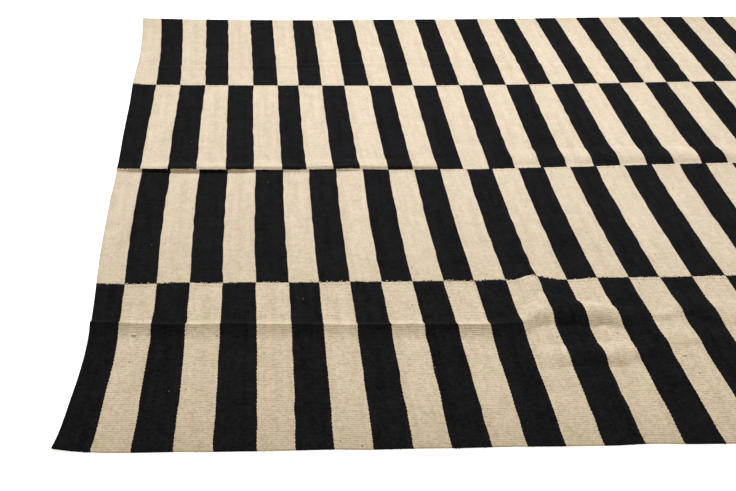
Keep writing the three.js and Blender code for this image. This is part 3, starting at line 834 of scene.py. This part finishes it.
def tube_mesh(name, centres, across, up, weave):
    """Closed tubes: rings around rows of centres, each tube's rings joined and its ends capped."""
    tubes, rings = centres.shape[:2]
    sides = across.shape[2]
    angle = (np.arange(sides) / sides * 2 * math.pi)[:, None]
    points = centres[:, :, None] + across * np.cos(angle) + up * np.sin(angle)
    number = np.arange(tubes * rings * sides).reshape(tubes, rings, sides)
    turned = np.roll(number, -1, axis=2)
    corners = (number[:, :-1], turned[:, :-1], turned[:, 1:], number[:, 1:])
    faces = np.stack([corner.ravel() for corner in corners], -1).tolist()
    faces += number[:, 0, ::-1].tolist()
    faces += number[:, -1].tolist()
    mesh = bpy.data.meshes.new(name)
    mesh.from_pydata((points.reshape(-1, 3) * MM).tolist(), [], faces)
    add_weave_map(mesh, np.broadcast_to(weave[:, :, None], points.shape[:3] + (2,)).reshape(-1, 2))
    mesh.shade_smooth()
    return mesh


def loop_rings(index, side, reach_left, reach_right, lift):
    """The centres and half sizes of the rings of one selvedge's loops, and their weave places."""
    rng = np.random.default_rng(LOOP_SEED + 2 * index + side)
    count = round(RUG_LENGTH / LOOP_PITCH)
    widths = 1 + LOOP_UNEVENNESS * rng.uniform(-1, 1, count)
    starts = np.concatenate([[0], np.cumsum(widths)]) / widths.sum()
    strength = rng.uniform(*LOOP_STRENGTHS, count) ** LOOP_STRENGTH_POWER
    groups = rng.uniform(*GROUP_STRENGTHS, count // LOOPS_A_GROUP + 1)
    strength = strength * groups.repeat(LOOPS_A_GROUP)[:count]
    step = np.arange(LOOP_STEPS) / LOOP_STEPS
    share = (starts[:-1, None] + np.diff(starts)[:, None] * step).ravel()
    bulge = (strength[:, None] * np.sin(np.pi * step) ** LOOP_FULLNESS).ravel()
    margin = LOOP_MARGIN / (STRIPE_COUNT * STRIPE_WIDTH)
    stripe = STRIPE_COUNT * (margin + (1 - 2 * margin) * share)
    x, y, low, thickness = cloth(index, stripe, np.full_like(stripe, side))
    outward = 1 if side else -1
    to_right = smooth((x - REACH_CHANGE_START) / REACH_CHANGE_LENGTH)
    reach = reach_left + (reach_right - reach_left) * to_right
    radius = LOOP_RADIUS + LOOP_SWELL * bulge
    y = y + outward * (reach * bulge - LOOP_INSET)
    z = low + 0.5 * thickness + lift * bulge
    centres = np.stack([x, y, z], -1) - (RUG_LENGTH / 2, RUG_WIDTH / 2, 0)
    rib = RIB_COUNT + 0.5 if side else -0.5
    weave = np.stack([stripe + index % 2, np.full_like(stripe, rib)], -1)
    return centres, radius, weave


loops = []
for index, (name, *_) in enumerate(PANELS):
    sides = [loop_rings(*row) for row in SELVEDGES if row[0] == index]
    centres, radius, weave = map(np.stack, zip(*sides))
    spread = np.broadcast_to(radius[:, :, None, None], radius.shape + (LOOP_SIDES, 1))
    outward = spread * (0, -1, 0)
    upward = spread * (0, 0, LOOP_FLATNESS)
    mesh = tube_mesh(name + "_loops", centres, outward, upward, weave)
    edge_loops = bpy.data.objects.new(name + "_loops", mesh)
    bpy.context.scene.collection.objects.link(edge_loops)
    mesh.materials.append(STRIPED_WOOL)
    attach(edge_loops, "root")
    loops.append(edge_loops)


# The knots
# In two places on the front panel the weaver tied in a new length of weft, and the cream yarn's
# knot stands on the face as a small flat lump.

KNOTTED_PANEL = 0
KNOT_RINGS = 9
KNOT_SIDES = 8
KNOT_SINK = 0.3
KNOT_FULLNESS = 1.02  # over 1, so that a knot's ends don't close to a point

# Stripe, share of the way across the panel, and the knot's length, width and height
KNOTS = ((17.28, 0.479, 12, 9, 2.8), (1.5, 0.65, 14, 9, 3))


def knot_rings(stripe, share, length, width, height):
    """The centres and half sizes of one knot's rings, along the weft, and their weave places."""
    along_knot = np.linspace(-0.5, 0.5, KNOT_RINGS)
    girth = np.sqrt(KNOT_FULLNESS - (2 * along_knot) ** 2)
    stripes = stripe + along_knot * length / STRIPE_WIDTH
    x, y, low, thickness = cloth(KNOTTED_PANEL, stripes, np.full_like(stripes, share))
    z = low + thickness - KNOT_SINK
    centres = np.stack([x, y, z], -1) - (RUG_LENGTH / 2, RUG_WIDTH / 2, 0)
    spread = np.broadcast_to(girth[:, None, None], (KNOT_RINGS, KNOT_SIDES, 1))
    rib = np.full_like(stripes, round(share * RIB_COUNT) + 0.5)
    weave = np.stack([stripes, rib], -1)
    return centres, spread * (0, -width / 2, 0), spread * (0, 0, height), weave


centres, outward, upward, weave = map(np.stack, zip(*(knot_rings(*row) for row in KNOTS)))
knot_mesh = tube_mesh("panel_1_knots", centres, outward, upward, weave)
knots = bpy.data.objects.new("panel_1_knots", knot_mesh)
bpy.context.scene.collection.objects.link(knots)
knot_mesh.materials.append(STRIPED_WOOL)
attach(knots, "root")


# The seams
# Neighbouring panels are sewn edge to edge by hand with a thin brown wool yarn, in whip stitches
# that bite a few millimetres into either panel and draw down between the loops.

STITCH_PITCH = 5.9
STITCH_MARGIN = 1.5  # in stitches, from the end of the seam to the first one
STITCH_WANDER = 0.2
STITCH_BITES = (0.85, 1.15)
STITCH_SLANT = 1.2
STITCH_SLANTS = (0.3, 1.5)
STITCH_SIDES = 4
STITCH_SEED = 80

# A stitch's yarn from panel to panel, in rows of (from the seam, height over the cloth)
STITCH_PATH = (
    (-10.6, -0.9), (-9.8, 0.3), (-8.2, 0.25), (-6.6, -0.6), (0.4, -1.3), (4, -1), (6, -1.2),
)
YARN_RADIUS = 0.5
TWISTS_A_STITCH = 7
# The yarn's brown, darkened to near black: partly painted shade of the seam gap and the stitch holes
YARN_DARK_WITH_SHADE = (0.02, 0.016, 0.012)
YARN_LIGHT_WITH_SHADE = (0.05, 0.04, 0.03)
YARN_UNEVENNESS = (0.73, 1.9, 1.0, 5.0)


def stitch_mesh(index):
    """The stitches of the seam behind a panel, each a short yarn from panel to panel."""
    rng = np.random.default_rng(STITCH_SEED + index)
    count = int(STRIPE_COUNT * STRIPE_WIDTH / STITCH_PITCH) - 2
    wander = rng.uniform(-STITCH_WANDER, STITCH_WANDER, count)
    stripe = (np.arange(count) + STITCH_MARGIN + wander) * STITCH_PITCH / STRIPE_WIDTH
    bite = rng.uniform(*STITCH_BITES, count)
    slant = STITCH_SLANT * rng.uniform(*STITCH_SLANTS, count)
    centres = []
    for from_seam, height in STITCH_PATH:
        panel, seam_share = (index, 1) if from_seam < 0 else (index + 1, 0)
        share = seam_share + from_seam * bite / PANEL_DEPTH
        place = stripe + slant * from_seam / STITCH_PATH[-1][0] / STRIPE_WIDTH
        x, y, low, thickness = cloth(panel, place, share)
        z = low + thickness + height
        centres.append(np.stack([x - RUG_LENGTH / 2, y - RUG_WIDTH / 2, z], -1))
    centres = np.stack(centres, 1)
    along_yarn = np.gradient(centres, axis=1)
    along_yarn /= np.linalg.norm(along_yarn, axis=-1, keepdims=True)
    across_yarn = np.cross(along_yarn, (0, 0, 1))
    across_yarn /= np.linalg.norm(across_yarn, axis=-1, keepdims=True)
    up_yarn = np.cross(across_yarn, along_yarn)
    shape = centres.shape[:2] + (STITCH_SIDES, 3)
    across_yarn = np.broadcast_to(across_yarn[:, :, None] * YARN_RADIUS, shape)
    up_yarn = np.broadcast_to(up_yarn[:, :, None] * YARN_RADIUS, shape)
    step = np.linspace(0, 1, len(STITCH_PATH))
    weave = np.stack(np.broadcast_arrays(np.arange(count)[:, None], step), -1)
    return tube_mesh("seam_%d_stitches" % (index + 1), centres, across_yarn, up_yarn, weave)


def seam_yarn():
    """Brown wool yarn darkened by painted shade, twisted, a little darker or lighter from stitch to
    stitch.
    """
    material = bpy.data.materials.new("seam yarn")
    material.use_nodes = True
    tree = material.node_tree
    shader = tree.nodes["Principled BSDF"]
    map_node = tree.nodes.new("ShaderNodeUVMap")
    map_node.uv_map = "weave"
    tone = compute(tree, "ADD", mottle(tree, map_node.outputs[0], *YARN_UNEVENNESS), 0.5)
    feed(tree, shader.inputs["Base Color"], blend_colour(tree, "MIX", tone, YARN_DARK_WITH_SHADE, YARN_LIGHT_WITH_SHADE))
    shader.inputs["Roughness"].default_value = 0.9
    shader.inputs["Specular IOR Level"].default_value = 0.05
    _, step = split(tree, map_node.outputs[0])
    turn = compute(tree, "MULTIPLY", step, TWISTS_A_STITCH * 2 * math.pi)
    bump = tree.nodes.new("ShaderNodeBump")
    bump.inputs["Distance"].default_value = 0.0002
    feed(tree, bump.inputs["Height"], compute(tree, "SINE", turn))
    feed(tree, shader.inputs["Normal"], bump.outputs["Normal"])
    return material


SEAM_YARN = seam_yarn()
seams = []
for index in range(len(PANELS) - 1):
    mesh = stitch_mesh(index)
    stitches = bpy.data.objects.new(mesh.name, mesh)
    bpy.context.scene.collection.objects.link(stitches)
    mesh.materials.append(SEAM_YARN)
    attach(stitches, "root")
    seams.append(stitches)

# Each panel was woven as a straight strip. Its loops, its knots and the seam behind it are listed
# beside it.
taken_along = [[edge_loops] for edge_loops in loops]
taken_along[KNOTTED_PANEL].append(knots)
for index, stitches in enumerate(seams):
    taken_along[index].append(stitches)


# The floor
# A plain white sweep that the rug lies on, bright enough to lose its own edges.

FLOOR_REACH = 60
FLOOR_DROP = 0.0004
FLOOR_WHITE = (0.9, 0.9, 0.9, 1)
SHADED_MARGIN = 0.03  # how far in from the rug's sides the floor stops glowing
CORNERS = ((-1, -1), (1, -1), (1, 1), (-1, 1))
shaded_x = (box_high.x - box_low.x) / 2 - SHADED_MARGIN
shaded_y = (box_high.y - box_low.y) / 2 - SHADED_MARGIN
floor_mesh = bpy.data.meshes.new("floor")
floor_mesh.from_pydata(
    [(x * FLOOR_REACH, y * FLOOR_REACH, 0) for x, y in CORNERS]
    + [(x * shaded_x, y * shaded_y, 0) for x, y in CORNERS],
    [],
    [(0, 1, 5, 4), (1, 2, 6, 5), (2, 3, 7, 6), (3, 0, 4, 7), (4, 5, 6, 7)],
)
floor = bpy.data.objects.new("floor", floor_mesh)
floor.location.z = -FLOOR_DROP
bpy.context.scene.collection.objects.link(floor)
for name, glow in (("bright floor", 0.75), ("shaded floor", 0)):
    floor_paint = bpy.data.materials.new(name)
    floor_paint.use_nodes = True
    floor_shader = floor_paint.node_tree.nodes["Principled BSDF"]
    floor_shader.inputs["Base Color"].default_value = FLOOR_WHITE
    floor_shader.inputs["Roughness"].default_value = 0.8
    floor_shader.inputs["Emission Color"].default_value = (1, 1, 1, 1)
    floor_shader.inputs["Emission Strength"].default_value = glow
    floor_mesh.materials.append(floor_paint)
floor_mesh.polygons[-1].material_index = 1


# The light
# One large soft box behind and above the rug, and an even pale room.

LAMP_PLACE = (-0.5, 1.43, 2.5)
LAMP_AIM = (0, -4, 0)
LAMP_SIZE = (3.2, 1.4)
LAMP_COLOUR = (0.905, 0.965, 1.10)
ROOM_COLOUR = (1.16, 1.04, 0.80, 1)
lamp = bpy.data.lights.new("back_soft_box", "AREA")
lamp.shape = "RECTANGLE"
lamp.size, lamp.size_y = LAMP_SIZE
lamp.energy = 165
lamp.color = LAMP_COLOUR
soft_box = bpy.data.objects.new("back_soft_box", lamp)
soft_box.location = LAMP_PLACE
to_aim = np.array(LAMP_AIM, float) - np.array(LAMP_PLACE, float)
lamp_tilt = math.atan2(math.hypot(to_aim[0], to_aim[1]), -to_aim[2])
soft_box.rotation_euler = (lamp_tilt, 0, math.atan2(-to_aim[0], to_aim[1]))
bpy.context.scene.collection.objects.link(soft_box)
world = bpy.data.worlds.new("pale room")
world.use_nodes = True
world.node_tree.nodes["Background"].inputs["Color"].default_value = ROOM_COLOUR
world.node_tree.nodes["Background"].inputs["Strength"].default_value = 0.379
bpy.context.scene.world = world
bpy.context.scene.view_settings.view_transform = "Standard"


# The camera
# It stands before the left part of the front edge and looks down over it at the photograph's angle.

camera_data = bpy.data.cameras.new("camera")
camera_data.sensor_width = 36
camera_data.lens = 42.56
camera_data.shift_x = 0.1279
camera = bpy.data.objects.new("camera", camera_data)
camera.location = (-1.1018, -2.0706, 1.3785)
camera.rotation_euler = (math.radians(51.177), math.radians(-0.411), math.radians(-1.529))
bpy.context.scene.collection.objects.link(camera)
bpy.context.scene.camera = camera
